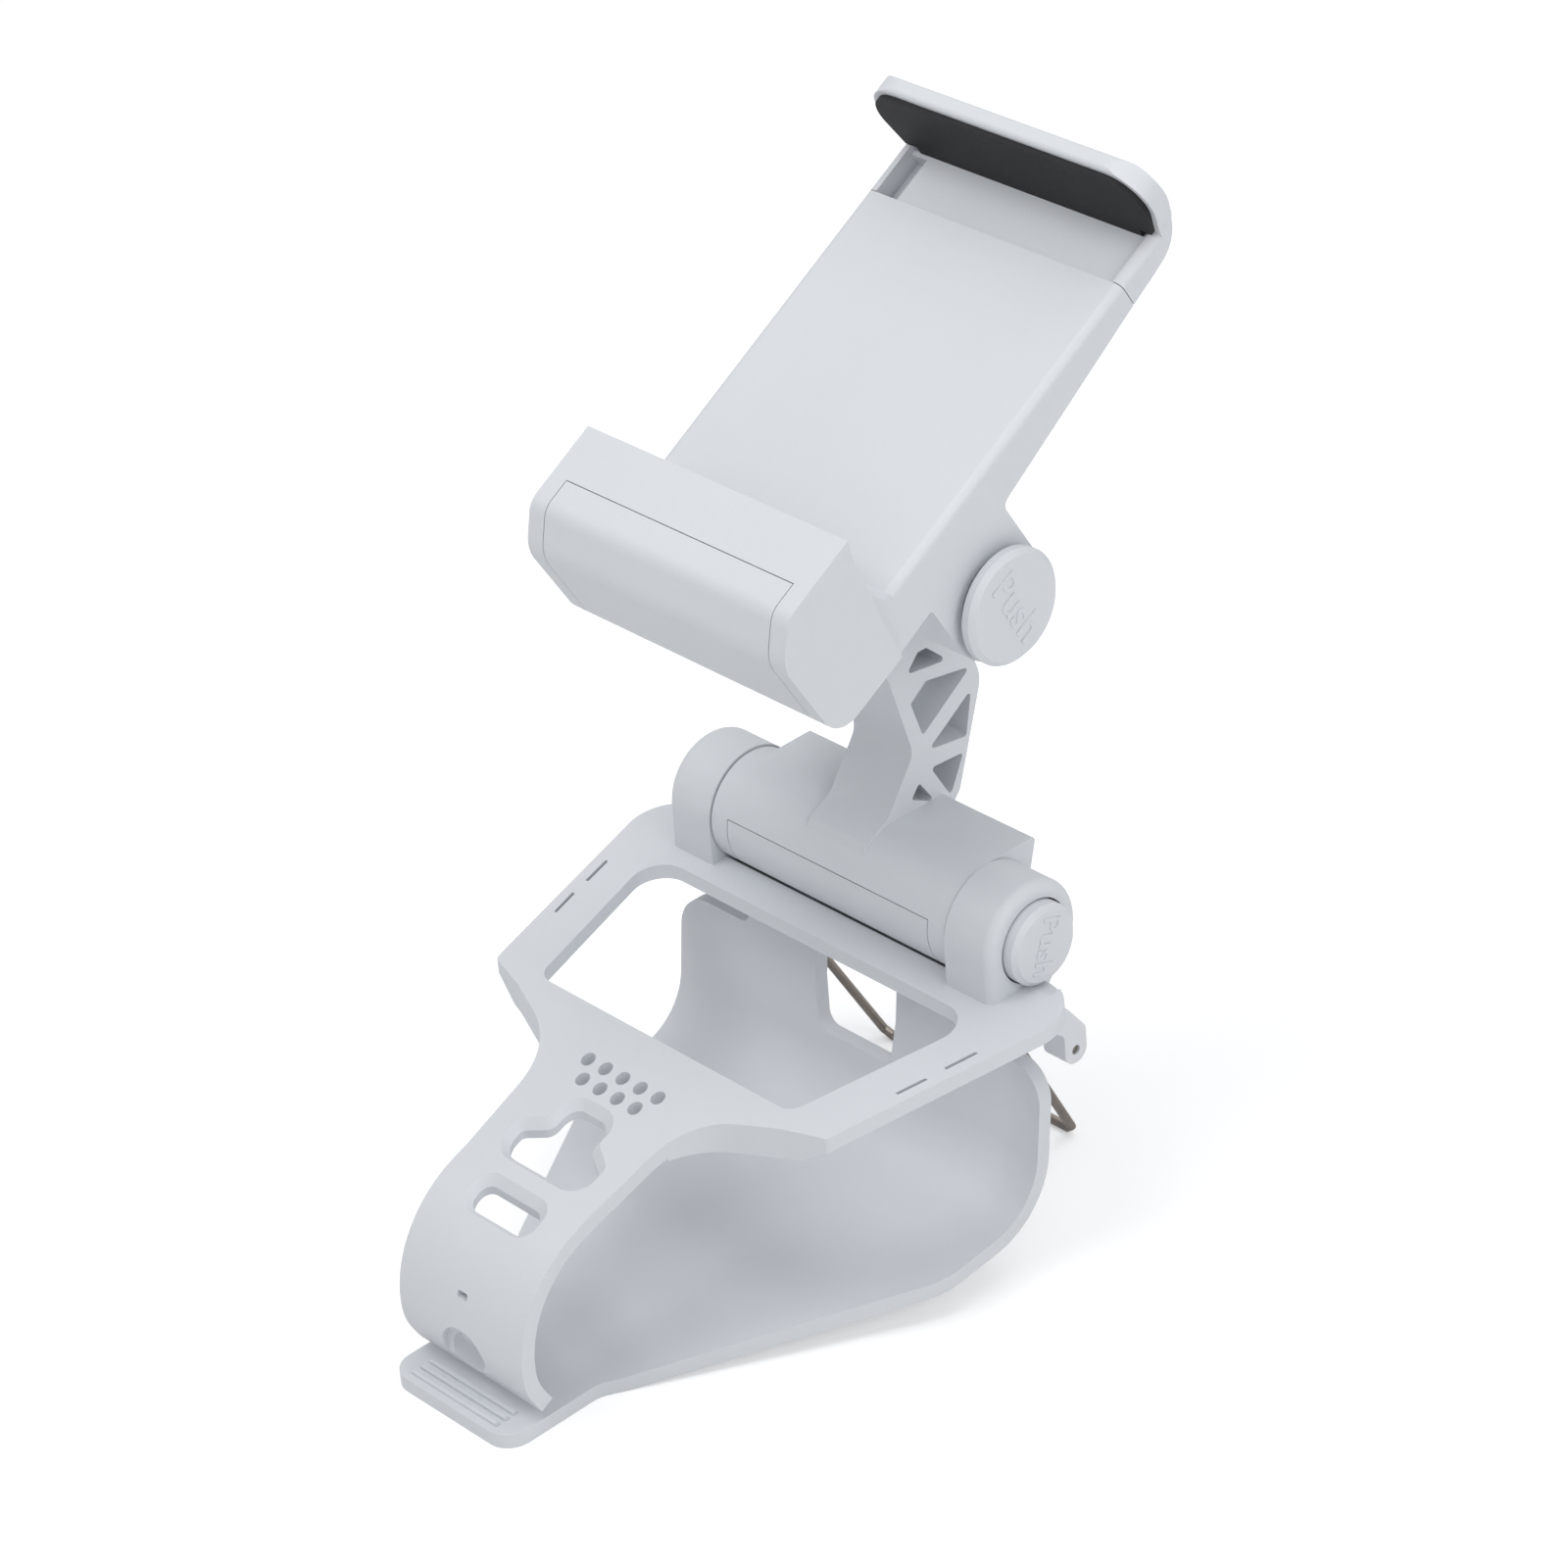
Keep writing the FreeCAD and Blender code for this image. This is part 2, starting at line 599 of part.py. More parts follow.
arm = new_body("arm")
pad(arm, "barrel", "x", "-barrel_half", "barrel_half", circles=[(0, 0, "barrel_round")])
ridge = [(0, 0), ("barrel_round - 0.1", 1.3), (11.1, "barrel_round", 0.8), (0, "barrel_round")]
pad(arm, "ridge", "x", "-barrel_half + 2.6", "barrel_half", [ridge])


def sector(first, last):
    """A wedge from the barrel's axis that takes in the angles from first to last."""
    far = 22.0
    middle = math.radians((first + last) / 2)
    return [
        (0, 0),
        (far * math.cos(math.radians(first)), far * math.sin(math.radians(first))),
        (1.5 * far * math.cos(middle), 1.5 * far * math.sin(middle)),
        (far * math.cos(math.radians(last)), far * math.sin(math.radians(last)))]


pocket(arm, "cover_seat", "x", "-barrel_cover_half - seam", "barrel_cover_half + seam",
       [sector(164, 262)])
pad(arm, "core", "x", "-barrel_half", "barrel_half", circles=[(0, 0, "barrel_round - cover_wall")])
strut = [
    (-7.2, 5.0),
    (-5.9, 7.6, 2.0),
    (-1.0, 10.2, 2.0),
    (5.0, 18.8, 3.5),
    (0.9, 33.4, 2.5),
    ("reach - knuckle_round", 41.5, 3.0),
    ("reach - knuckle_round", "rise + knuckle_round", "knuckle_round - 0.05"),
    ("reach + knuckle_round", "rise + knuckle_round", "knuckle_round - 0.05"),
    ("reach + knuckle_round", 42.0, 10.0),
    (20.0, 25.5, 6.0),
    (14.2, 8.0, 2.0),
    (11.0, 4.5)]
pad(arm, "strut", "x", "-arm_half", "arm_half", [strut])
truss = [
    [(4.7, 32.7, 0.5), (7.2, 35.4, 0.5), (9.1, 35.4, 0.5), (13.3, 31.4, 0.5)],
    [(5.1, 27.4, 0.5), (8.4, 29.9, 0.5), (17.9, 28.1, 0.5), (7.2, 20.9, 0.5)],
    [(8.1, 17.9, 0.5), (17.8, 24.2, 0.5), (16.2, 16.6, 0.5)],
    [(8.4, 14.6, 0.5), (15.4, 14.1, 0.5), (12.2, 7.9, 0.5)],
    [(4.0, 11.0, 0.4), (5.8, 13.2, 0.4), (9.0, 8.4, 0.4)]]
pocket(arm, "truss_right", "x", "arm_web_half", "arm_half", truss)
pocket(arm, "truss_left", "x", "-arm_half", "-arm_web_half", truss)
pocket(arm, "barrel_stem_bore", "x", "barrel_half - 3.2", "barrel_half + 5", circles=[(0, 0, "stem_round + run_fit")])
pocket(arm, "barrel_cavity", "x", 8, "barrel_half - 2.7", circles=[(0, 0, 6.0)])
pocket(arm, "barrel_pin_bore", "x", "-barrel_half - 5", "-barrel_half + 9.2", circles=[(0, 0, "pin_round + run_fit")])
upper = ("reach", "rise")
pocket(arm, "knuckle_stem_bore", "x", 4, 10, circles=[upper + ("stem_round + run_fit",)])
pocket(arm, "knuckle_cavity", "x", -3.5, 4.2, circles=[upper + (5.9,)])
pocket(arm, "knuckle_pin_bore", "x", -10, -3, circles=[upper + ("pin_round + run_fit",)])
put(arm, "hinge_y", "hinge_z")
keep(arm, "arm")

cover = new_body("barrel_cover_body")
pad(cover, "cover_round", "x", "-barrel_cover_half", "barrel_cover_half",
    circles=[(0, 0, "barrel_round")])
pocket(cover, "cover_hollow", "x", "-barrel_half", "barrel_half",
       circles=[(0, 0, "barrel_round - cover_wall")])
trim(cover, "cover_sector", "x", "-barrel_half", "barrel_half", [sector(165.1, 260.9)])
put(cover, "hinge_y", "hinge_z")
keep(cover, "barrel_cover")

# Lower push button, its spring and detent ring, and the steel pin on the other side

lower_button = new_body("lower_button_body")
pad(lower_button, "lower_cap", "x", "recess_floor + 3.3", "lower_button_out",
    circles=[(0, 0, "lower_button_round")])
pad(lower_button, "lower_stem", "x", "barrel_half - 5.8", "recess_floor + 3.5", circles=[(0, 0, "stem_round")])
soften(lower_button, "lower_cap_edge", 0.8, lambda edge: (
    edge.BoundBox.XMin > size("lower_button_out") - 0.01), "Chamfer")
put(lower_button, "hinge_y", "hinge_z")
keep(lower_button, "lower_button")


def detent_ring(name, start):
    """A ring with twelve face teeth that sits on a button's stem."""
    ring = new_body(name + "_body")
    pad(ring, name + "_disc", "x", start, start + " + 1.4", circles=[(0, 0, 5.5)])
    teeth = []
    for i in range(12):
        turn = math.radians(30 * i)
        spread = math.radians(6)
        teeth.append([
            (5.4 * math.cos(turn - spread), 5.4 * math.sin(turn - spread)),
            (5.4 * math.cos(turn + spread), 5.4 * math.sin(turn + spread)),
            (4.1 * math.cos(turn + spread), 4.1 * math.sin(turn + spread)),
            (4.1 * math.cos(turn - spread), 4.1 * math.sin(turn - spread))])
    pad(ring, name + "_teeth", "x", start, start + " + 2.4", teeth)
    pocket(ring, name + "_bore", "x", start + " - 1", start + " + 3", circles=[(0, 0, "stem_round")])
    return ring


lower_ring = detent_ring("lower_ring", "barrel_half - 5.5")
put(lower_ring, "hinge_y", "hinge_z")
keep(lower_ring, "lower_detent_ring")


def spring_on_axis(label, radius, wire, low, high, turns, place):
    """A coil spring along X between two levels."""
    coiled = coil(label + "_coil", radius, wire, size(high) - size(low), turns)
    coiled.Placement = FreeCAD.Placement(
        FreeCAD.Vector(size(low), 0, 0), FreeCAD.Rotation(FreeCAD.Vector(0, 1, 0), 90))
    drive(coiled, "Placement.Base.x", low)
    turned = doc.addObject("Part::Compound", label)
    turned.Links = [coiled]
    put(turned, *place)
    doc.recompute()
    return turned


keep(spring_on_axis("lower_spring", 5.4, 0.35, "recess_floor", "recess_floor + 3.3", 2, hinge),
     "lower_button_spring")

lower_pin = new_body("lower_pin_body")
pad(lower_pin, "lower_pin_shank", "x", "-ear_outside + 2.5", "-barrel_half + 8.2", circles=[(0, 0, "pin_round")])
pad(lower_pin, "lower_pin_head", "x", "-ear_outside + 1.2", "-ear_outside + 3", circles=[(0, 0, 3.8)])
put(lower_pin, "hinge_y", "hinge_z")
keep(lower_pin, "lower_hinge_pin")

ear_cap = new_body("ear_cap_body")
pad(ear_cap, "ear_cap_disc", "x", "-ear_outside", "-ear_outside + 1", circles=[(0, 0, "lower_button_round")])
put(ear_cap, "hinge_y", "hinge_z")
keep(ear_cap, "ear_cap")

# Phone holder, drawn level about the upper hinge: +Y along the tray, +Z out of its face

HOLDER = ("hinge_y + reach", "hinge_z + rise", "tilt")
back_at = "(10.95 + 0.0955 * (%s))"
lip_top = "holder_face + lip_height"

holder = new_body("holder")
tray_side = [
    (-18, "holder_face"),
    (-18, 10.4),
    ("-housing_round", 10.6, 0.8),
    ("-housing_round", 0),
    ("housing_round", 0),
    ("housing_round", back_at % "housing_round", 1.5),
    ("holder_end", back_at % "holder_end"),
    ("holder_end", "holder_face")]
pad(holder, "tray", "x", "-holder_half", "holder_half", [tray_side])
soften(holder, "tray_edges", 1.4, lambda edge: (
    edge.BoundBox.ZMin > size("holder_face") - 0.01 and edge.BoundBox.ZMax < size("holder_face") + 0.01
    and edge.BoundBox.XLength < 0.01 and abs(edge.BoundBox.XMin) > size("holder_half") - 0.01
    and edge.BoundBox.YLength > 20))
pad(holder, "housing", "x", "-holder_half", "holder_half", circles=[(0, 0, "housing_round")])
jaw_line = [
    (-13.6, lip_top),
    (-27.8, lip_top, 3.5),
    ("-jaw_out", lip_top + " - 5.6", 6.0),
    ("-jaw_out", 11.2, 4.5),
    (-17.5, 10.8)]
jaw_inner = [(-16.5, "holder_face - 0.5"), (-15.2, 27.6, 4.0), (-14.8, 30.8)]
pad(holder, "lower_jaw", "x", "-jaw_half", "jaw_half", [jaw_line + jaw_inner])
cover_line = [("-22.7", lip_top)] + jaw_line[1:4] + [(-24, 10.97)]
seat_line = [("-22.7 + seam", lip_top)] + jaw_line[1:4] + [("-24 + seam", 10.97)]
pocket(holder, "jaw_cover_seat", "x", "-jaw_cover_half - seam", "jaw_cover_half + seam",
       [ribbon(seat_line, "cover_wall")])
jaw_hollow = [
    (-30.9, 13.6), (-18.5, 13.6), (-17.9, 19.0), (-17.0, 27.0), (-16.2, 33.0), (-27.2, 33.0), (-30.9, 28.6)]
pocket(holder, "jaw_hollow", "x", "-jaw_cover_half + 2.1", "jaw_cover_half - 2.1", [jaw_hollow])
slide_room = [
    (11.7, 8),
    (60, 8),
    (60, "holder_face - holder_skin"),
    (11.7, "holder_face - holder_skin")]
pocket(holder, "slide_room", "x", "-tray_inside", "tray_inside", [slide_room])
arm_slot = [
    ("-housing_round - 2", -12),
    ("housing_round + 3", -12),
    ("housing_round + 3", "housing_round + 0.1"),
    ("-housing_round - 2", "housing_round + 0.1")]
pocket(holder, "arm_slot", "x", "-arm_half - 0.4", "arm_half + 0.4", [arm_slot])
pocket(holder, "button_collar_room", "x", "upper_recess_floor", "holder_half + 4", circles=[(0, 0, 7.6)])
pocket(holder, "button_stem_bore", "x", 5, "upper_recess_floor + 3", circles=[(0, 0, "stem_round + run_fit")])
pocket(holder, "upper_pin_bore", "x", "-holder_half - 4", -5, circles=[(0, 0, "pin_round")])
pocket(holder, "upper_cap_recess", "x", "-holder_half - 4", "-holder_half + 2.1", circles=[(0, 0, 3.9)])
screw_posts = [(-17, 16.5, 2.6), (17, 16.5, 2.6)]
pad(holder, "screw_posts", "z", 14.2, "holder_face - holder_skin + 0.2", circles=screw_posts)
pocket(holder, "screw_pilots", "z", 10, 17.5, circles=[(x, y, 1.1) for x, y, r in screw_posts])
jaw_root = [
    (-16.8, "holder_face - 1"),
    (-12.9, "holder_face - 1"),
    (-12.9, "holder_face"),
    (-14.2, "holder_face + 0.5"),
    (-15.6, "holder_face + 1.8"),
    (-15.95, "holder_face + 3.4"),
    (-16.8, "holder_face + 3.4")]
pad(holder, "jaw_root", "x", "-holder_half", "holder_half", [jaw_root])
put(holder, *HOLDER)
keep(holder, "holder_base")

jaw_cover = new_body("jaw_cover_body")
pad(jaw_cover, "jaw_cover_band", "x", "-jaw_cover_half", "jaw_cover_half",
    [ribbon(cover_line, "cover_wall")])
put(jaw_cover, *HOLDER)
keep(jaw_cover, "jaw_cover")

lower_pad = new_body("lower_pad_body")
pad_line = [(-14.85, 30.4), (-15.2, 27.6, 4.0), (-15.8, 23.8)]
pad(lower_pad, "lower_pad_band", "x", "-holder_half + 4", "holder_half - 4", [ribbon(pad_line, "pad_thickness")])
put(lower_pad, *HOLDER)
keep(lower_pad, "lower_grip_pad")

back_cover = new_body("back_cover_body")
back_plate = [
    ("11.7 + seam", back_at % "11.85"),
    ("holder_end - seam", back_at % "holder_end - seam"),
    ("holder_end - seam", "(%s) + 1.4" % (back_at % "holder_end - seam")),
    ("11.7 + seam", "(%s) + 1.4" % (back_at % "11.85"))]
pad(back_cover, "back_plate", "x", "-tray_inside + seam", "tray_inside - seam", [back_plate])
pocket(back_cover, "back_cover_holes", "z", 8, 20, circles=[(x, y, 1.4) for x, y, r in screw_posts])
pocket(back_cover, "back_cover_sinks", "z", 8, 13.2, circles=[(x, y, 2.3) for x, y, r in screw_posts])
put(back_cover, *HOLDER)
keep(back_cover, "back_cover")

screws = []
for x, y, r in screw_posts:
    screw = new_body("cover_screw_%s" % ("left" if x < 0 else "right"))
    pad(screw, screw.Name + "_head", "z", 12.2, 13.2, circles=[(x, y, 2.2)])
    pad(screw, screw.Name + "_shank", "z", 13.0, 17.4, circles=[(x, y, 1.1)])
    pocket(screw, screw.Name + "_drive", "z", 12.0, 12.7,
           [[(x - 1.3, y - 0.25), (x + 1.3, y - 0.25), (x + 1.3, y + 0.25), (x - 1.3, y + 0.25)]])
    screws.append(screw)
cover_screws = join("Fuse", "cover_screws_pair", screws)
put(cover_screws, *HOLDER)
keep(cover_screws, "cover_screws")

# Upper jaw: rails, recessed floor, flared lip and the tongue that runs inside the tray

slider = new_body("slider")
lip_inner = "upper_lip_out - upper_lip_wall"
lip_top_level = "holder_face + upper_lip_height"
side_view = [
    ("holder_end + seam", 15.2),
    ("holder_end + 4.5", 15.5),
    ("upper_lip_out", 16.4, 6.0),
    ("upper_lip_out", lip_top_level, 1.4),
    (lip_inner, lip_top_level, 0.8),
    (lip_inner, "holder_face"),
    ("holder_end + seam", "holder_face")]
pad(slider, "lip_and_floor", "x", -32, 32, [side_view])
front_view = both_sides([
    ("holder_half", 5),
    ("holder_half", "holder_face"),
    ("upper_lip_half", lip_top_level, 6.5)])
trim(slider, "front_view", "y", 20, 70, [front_view])
floor_recess = [
    (0, "holder_face - 1.2"),
    (lip_inner, "holder_face - 1.2"),
    (lip_inner, 30),
    (0, 30)]
pocket(slider, "floor_recess", "x", "-holder_half + 1.8", "holder_half - 1.8", [floor_recess])
channel = [
    (0, "holder_face - 3.6"),
    (lip_inner + " - 1.5", "holder_face - 3.6"),
    (lip_inner + " - 1.5", 30),
    (0, 30)]
pocket(slider, "left_channel", "x", "-holder_half + 1.8", "-holder_half + 5.2", [channel])
rail_view = both_sides([("holder_half", 5), ("holder_half", "holder_face", 1.4)])
trim(slider, "rail_view", "y", 20, lip_inner, [rail_view])
tongue = [
    ("holder_end - tongue_length", "holder_face - holder_skin - 0.2 - slide_skin"),
    ("holder_end + 2", "holder_face - holder_skin - 0.2 - slide_skin"),
    ("holder_end + 2", "holder_face - holder_skin - 0.2"),
    ("holder_end - tongue_length", "holder_face - holder_skin - 0.2")]
pad(slider, "tongue", "x", "-tongue_half", "tongue_half", [tongue])
put(slider, *HOLDER)
keep(slider, "slider_jaw")

upper_pad = new_body("upper_pad_body")
pad_view = both_sides([
    ("holder_half - 3.3", "holder_face - 1.2"),
    ("holder_half - 3.3", "holder_face + 0.3"),
    ("holder_half - 0.9", "holder_face + 0.3"),
    ("upper_lip_half - 1.0", lip_top_level + " - 0.9", 5.6)])
pad(upper_pad, "upper_pad_sheet", "y", lip_inner + " - pad_thickness", lip_inner, [pad_view])
put(upper_pad, *HOLDER)
keep(upper_pad, "upper_grip_pad")

coils = []
for side in (-1, 1):
    one = coil("slide_coil_%s" % ("left" if side < 0 else "right"), 1.3, 0.3, 12.2, 9)
    one.Placement = FreeCAD.Placement(
        FreeCAD.Vector(11 * side, 11.8, 16.4), FreeCAD.Rotation(FreeCAD.Vector(1, 0, 0), -90))
    coils.append(one)
slide_springs = doc.addObject("Part::Compound", "slide_springs_pair")
slide_springs.Links = coils
put(slide_springs, *HOLDER)
keep(slide_springs, "slide_springs")

# Upper push button, its spring and detent ring, and the steel pin on the other side

upper_button = new_body("upper_button_body")
pad(upper_button, "upper_cap", "x", "holder_half + 1.5", "upper_button_out",
    circles=[(0, 0, "upper_button_round")])
pad(upper_button, "upper_collar", "x", "tray_inside", "holder_half + 2", circles=[(0, 0, 7.3)])
pad(upper_button, "upper_stem", "x", -1.5, "tray_inside + 0.4", circles=[(0, 0, "stem_round")])
soften(upper_button, "upper_cap_edge", 0.8, lambda edge: (
    edge.BoundBox.XMin > size("upper_button_out") - 0.01), "Chamfer")
put(upper_button, *HOLDER)
keep(upper_button, "upper_button")

upper_ring = detent_ring("upper_ring", "-1.2")
put(upper_ring, *HOLDER)
keep(upper_ring, "upper_detent_ring")

keep(spring_on_axis("upper_spring", 5.6, 0.4, "upper_recess_floor", "tray_inside", 4, HOLDER),
     "upper_button_spring")

upper_pin = new_body("upper_pin_body")
pad(upper_pin, "upper_pin_shank", "x", "-holder_half + 1.5", -3.9, circles=[(0, 0, "pin_round")])
pad(upper_pin, "upper_pin_head", "x", "-holder_half + 0.8", "-holder_half + 2", circles=[(0, 0, 3.6)])
put(upper_pin, *HOLDER)
keep(upper_pin, "upper_hinge_pin")

pin_cap = new_body("pin_cap_body")
pad(pin_cap, "pin_cap_disc", "x", "-holder_half", "-holder_half + 0.8", circles=[(0, 0, 3.85)])
put(pin_cap, *HOLDER)
keep(pin_cap, "upper_pin_cap")

# Wire bail, drawn hanging straight down from its pivot

bail = new_body("bail")
leg = "(bail_z - wire_round) / cos(bail_angle)"
bail_path = new_sketch(bail, "bail_path", "XZ_Plane", 0)
draw_loop(bail_path, [
    ("lug_outside - 0.4", 0),
    ("bail_top_half + 1.2", 0),
    ("bail_top_half", -1.2),
    ("bail_foot_half", "1.4 - " + leg),
    ("bail_foot_half - 1.4", minus(leg)),
    ("-bail_foot_half + 1.4", minus(leg)),
    ("-bail_foot_half", "1.4 - " + leg),
    ("-bail_top_half", -1.2),
    ("-bail_top_half - 1.2", 0),
    ("-lug_outside + 0.4", 0)], closed=False)
bail_section = new_sketch(bail, "bail_section", "YZ_Plane", "lug_outside - 0.4")
draw_circle(bail_section, 0, 0, "wire_round")
doc.recompute()
wire = bail.newObject("PartDesign::AdditivePipe", "wire")
wire.Profile = bail_section
wire.Spine = (bail_path, ["Edge%d" % (i + 1) for i in range(len(bail_path.Shape.Edges))])
wire.Transition = "Right corner"
doc.recompute()
put(bail, "bail_y", "bail_z", "bail_angle")
keep(bail, "wire_bail")

# Check every object and write each piece to its own file

doc.recompute()
for thing in doc.Objects:
    if "Invalid" in thing.State or "Error" in thing.State:
        raise RuntimeError("%s did not compute: %s" % (thing.Name, thing.State))
os.makedirs("parts", exist_ok=True)
for thing in nodes:
    shape = thing.Shape
    if shape.isNull() or not shape.isValid() or len(shape.Solids) < 1:
        raise RuntimeError("%s has no sound solid" % thing.Label)
    shape.exportStep("parts/%s.step" % thing.Label)
    box = shape.BoundBox
    print("%-20s volume %9.1f  x %.1f..%.1f  y %.1f..%.1f  z %.1f..%.1f" % (
        thing.Label, shape.Volume, box.XMin, box.XMax, box.YMin, box.YMax, box.ZMin, box.ZMax))
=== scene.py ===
# %% [markdown]
# A phone clip for a game controller. The cradle snaps over the controller, a hinged arm
# stands on its back edge, and a sprung phone holder tilts on top of the arm. A wire bail
# folds out behind so that the whole thing stands on a table. The solids come from the CAD
# frame, and this script gives them their finish, adds the raised words on the two push
# buttons, and sets up the floor, the light and the camera. All lengths are in metres.

# %% Load the CAD frame, with a helper for a part's box
import json
import math

import bpy
from mathutils import Matrix, Vector


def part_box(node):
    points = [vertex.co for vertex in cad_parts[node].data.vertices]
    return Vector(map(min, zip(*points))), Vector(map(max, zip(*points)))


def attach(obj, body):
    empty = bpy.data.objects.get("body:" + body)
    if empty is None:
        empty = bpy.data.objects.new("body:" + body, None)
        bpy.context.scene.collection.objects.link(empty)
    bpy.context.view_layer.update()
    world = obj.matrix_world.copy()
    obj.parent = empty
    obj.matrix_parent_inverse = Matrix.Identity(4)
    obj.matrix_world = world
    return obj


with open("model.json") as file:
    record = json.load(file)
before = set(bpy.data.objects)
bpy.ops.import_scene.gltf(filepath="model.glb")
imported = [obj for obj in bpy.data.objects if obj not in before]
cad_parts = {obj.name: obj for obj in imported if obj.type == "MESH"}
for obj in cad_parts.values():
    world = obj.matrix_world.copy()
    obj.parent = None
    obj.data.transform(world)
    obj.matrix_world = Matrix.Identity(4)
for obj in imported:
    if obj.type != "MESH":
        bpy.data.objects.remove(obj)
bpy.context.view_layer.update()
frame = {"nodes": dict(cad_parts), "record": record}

bpy.ops.object.select_all(action="DESELECT")

# %% [markdown]
# A material is a small drawing made of nodes. Writing each node out by hand hides what
# the drawing says, so one class wraps a node's output and lets it be added and multiplied
# like a number. The one method called node() makes every other kind of node.

# %% A socket that can be used in sums
class Socket:
    """One output of a node; sums with it build Math nodes."""

    def __init__(self, tree, output):
        self.tree, self.output = tree, output

    def _math(self, operation, first, second):
        node = self.tree.nodes.new("ShaderNodeMath")
        node.operation = operation
        for place, value in enumerate((first, second)):
            if isinstance(value, Socket):
                self.tree.links.new(value.output, node.inputs[place])
            else:
                node.inputs[place].default_value = value
        return Socket(self.tree, node.outputs[0])

    def __add__(self, other):
        return self._math("ADD", self, other)

    def __radd__(self, other):
        return self._math("ADD", other, self)

    def __sub__(self, other):
        return self._math("SUBTRACT", self, other)

    def __rmul__(self, other):
        return self._math("MULTIPLY", other, self)

    def above(self, level):
        return self._math("GREATER_THAN", self, level)

    def larger(self, other):
        return self._math("MAXIMUM", self, other)


class Finish:
    """A material with a Principled shader, built from sums and nodes."""

    def __init__(self, name, **constants):
        self.material = bpy.data.materials.new(name)
        self.material.use_nodes = True
        self.tree = self.material.node_tree
        self.shader = self.tree.nodes["Principled BSDF"]
        for socket, value in constants.items():
            self.shader.inputs[socket.replace("_", " ")].default_value = value
        self.place = self.node("ShaderNodeTexCoord", output="Object")

    def node(self, kind, settings=None, output=0, **inputs):
        made = self.tree.nodes.new(kind)
        for key, value in (settings or {}).items():
            setattr(made, key, value)
        for key, value in inputs.items():
            target = made.inputs[key.replace("_", " ")]
            if isinstance(value, Socket):
                self.tree.links.new(value.output, target)
            else:
                target.default_value = value
        return Socket(self.tree, made.outputs[output])

    def noise(self, scale, detail=2.0, rough=0.5, stretch=None):
        """Cloudy values near 0.5; scale is in features per metre."""
        where = self.place
        if stretch:
            where = self.node("ShaderNodeMapping", Vector=self.place, Scale=stretch)
        return self.node("ShaderNodeTexNoise", output="Fac", Vector=where,
                         Scale=scale, Detail=detail, Roughness=rough)

    def blend(self, amount, first, second):
        """Colour that goes from first to second as amount goes from 0 to 1."""
        mix = self.tree.nodes.new("ShaderNodeMix")
        mix.data_type = "RGBA"
        for place, value in ((0, amount), (6, first), (7, second)):
            if isinstance(value, Socket):
                self.tree.links.new(value.output, mix.inputs[place])
            else:
                mix.inputs[place].default_value = value
        return Socket(self.tree, mix.outputs[2])

    def feed(self, socket, value):
        self.tree.links.new(value.output, self.shader.inputs[socket])

    def bump(self, height, depth, strength=1.0):
        bumped = self.node("ShaderNodeBump", output="Normal", Height=height,
                           Distance=depth, Strength=strength)
        self.feed("Normal", bumped)


print("helpers ready")

# %% [markdown]
# Nearly everything is one moulded plastic: a cool pale grey with a fine, even spark-eroded
# grain. The grain is about a fifth of a millimetre across and only a few hundredths deep,
# so it is a bump. Broad, faint clouds keep a large face from looking like paint, and small
# rubbed spots are a little glossier where hands touch it.

# %% The pale moulded plastic
def moulded_plastic(name, light, dark, roughness=0.46, grain_depth=0.00003):
    finish = Finish(name, Specular_IOR_Level=0.42, IOR=1.5)
    clouds = finish.noise(38, detail=3.0, rough=0.55)
    speckle = finish.noise(2600, detail=1.0)
    finish.feed("Base Color", finish.blend(0.75 * clouds + 0.25 * speckle, dark, light))
    grain = finish.noise(5200, detail=2.0, rough=0.6)
    pits = finish.noise(1500, detail=2.0, rough=0.5)
    finish.bump(0.7 * grain + 0.3 * pits, grain_depth)
    rubbed = finish.noise(95, detail=4.0, rough=0.62).above(0.63)
    finish.feed("Roughness", (roughness - 0.05) + 0.12 * grain - 0.05 * rubbed)
    return finish.material


pale = moulded_plastic("pale_plastic_finish", (0.68, 0.70, 0.73, 1), (0.63, 0.65, 0.68, 1))
print("made", pale.name)

# %% [markdown]
# The grip pads are soft black rubber with a dull face. The bail is hard-drawn steel wire,
# dark and brownish, with fine lines along it. Springs, pins and screws are brighter steel.

# %% Rubber and steels
def grip_rubber():
    finish = Finish("grip_rubber_finish", Specular_IOR_Level=0.22)
    clouds = finish.noise(120, detail=3.0)
    dark, light = (0.012, 0.012, 0.013, 1), (0.022, 0.022, 0.024, 1)
    finish.feed("Base Color", finish.blend(clouds, dark, light))
    grain = finish.noise(3800, detail=2.0)
    finish.bump(grain, 0.00004)
    finish.feed("Roughness", 0.52 + 0.2 * grain)
    return finish.material


def drawn_steel(name, light, dark, roughness):
    finish = Finish(name, Metallic=1.0)
    lines = finish.noise(900, detail=2.0, stretch=(1.0, 0.12, 0.12))
    spots = finish.noise(420, detail=4.0, rough=0.65)
    finish.feed("Base Color", finish.blend(0.5 * lines + 0.5 * spots, dark, light))
    finish.bump(lines, 0.00001)
    finish.feed("Roughness", roughness + 0.16 * spots)
    return finish.material


rubber = grip_rubber()
wire = drawn_steel("steel_wire_finish", (0.34, 0.30, 0.27, 1), (0.20, 0.175, 0.155, 1), 0.30)
bright = drawn_steel("spring_steel_finish", (0.62, 0.62, 0.63, 1), (0.45, 0.45, 0.46, 1), 0.22)
print("made", rubber.name, wire.name, bright.name)

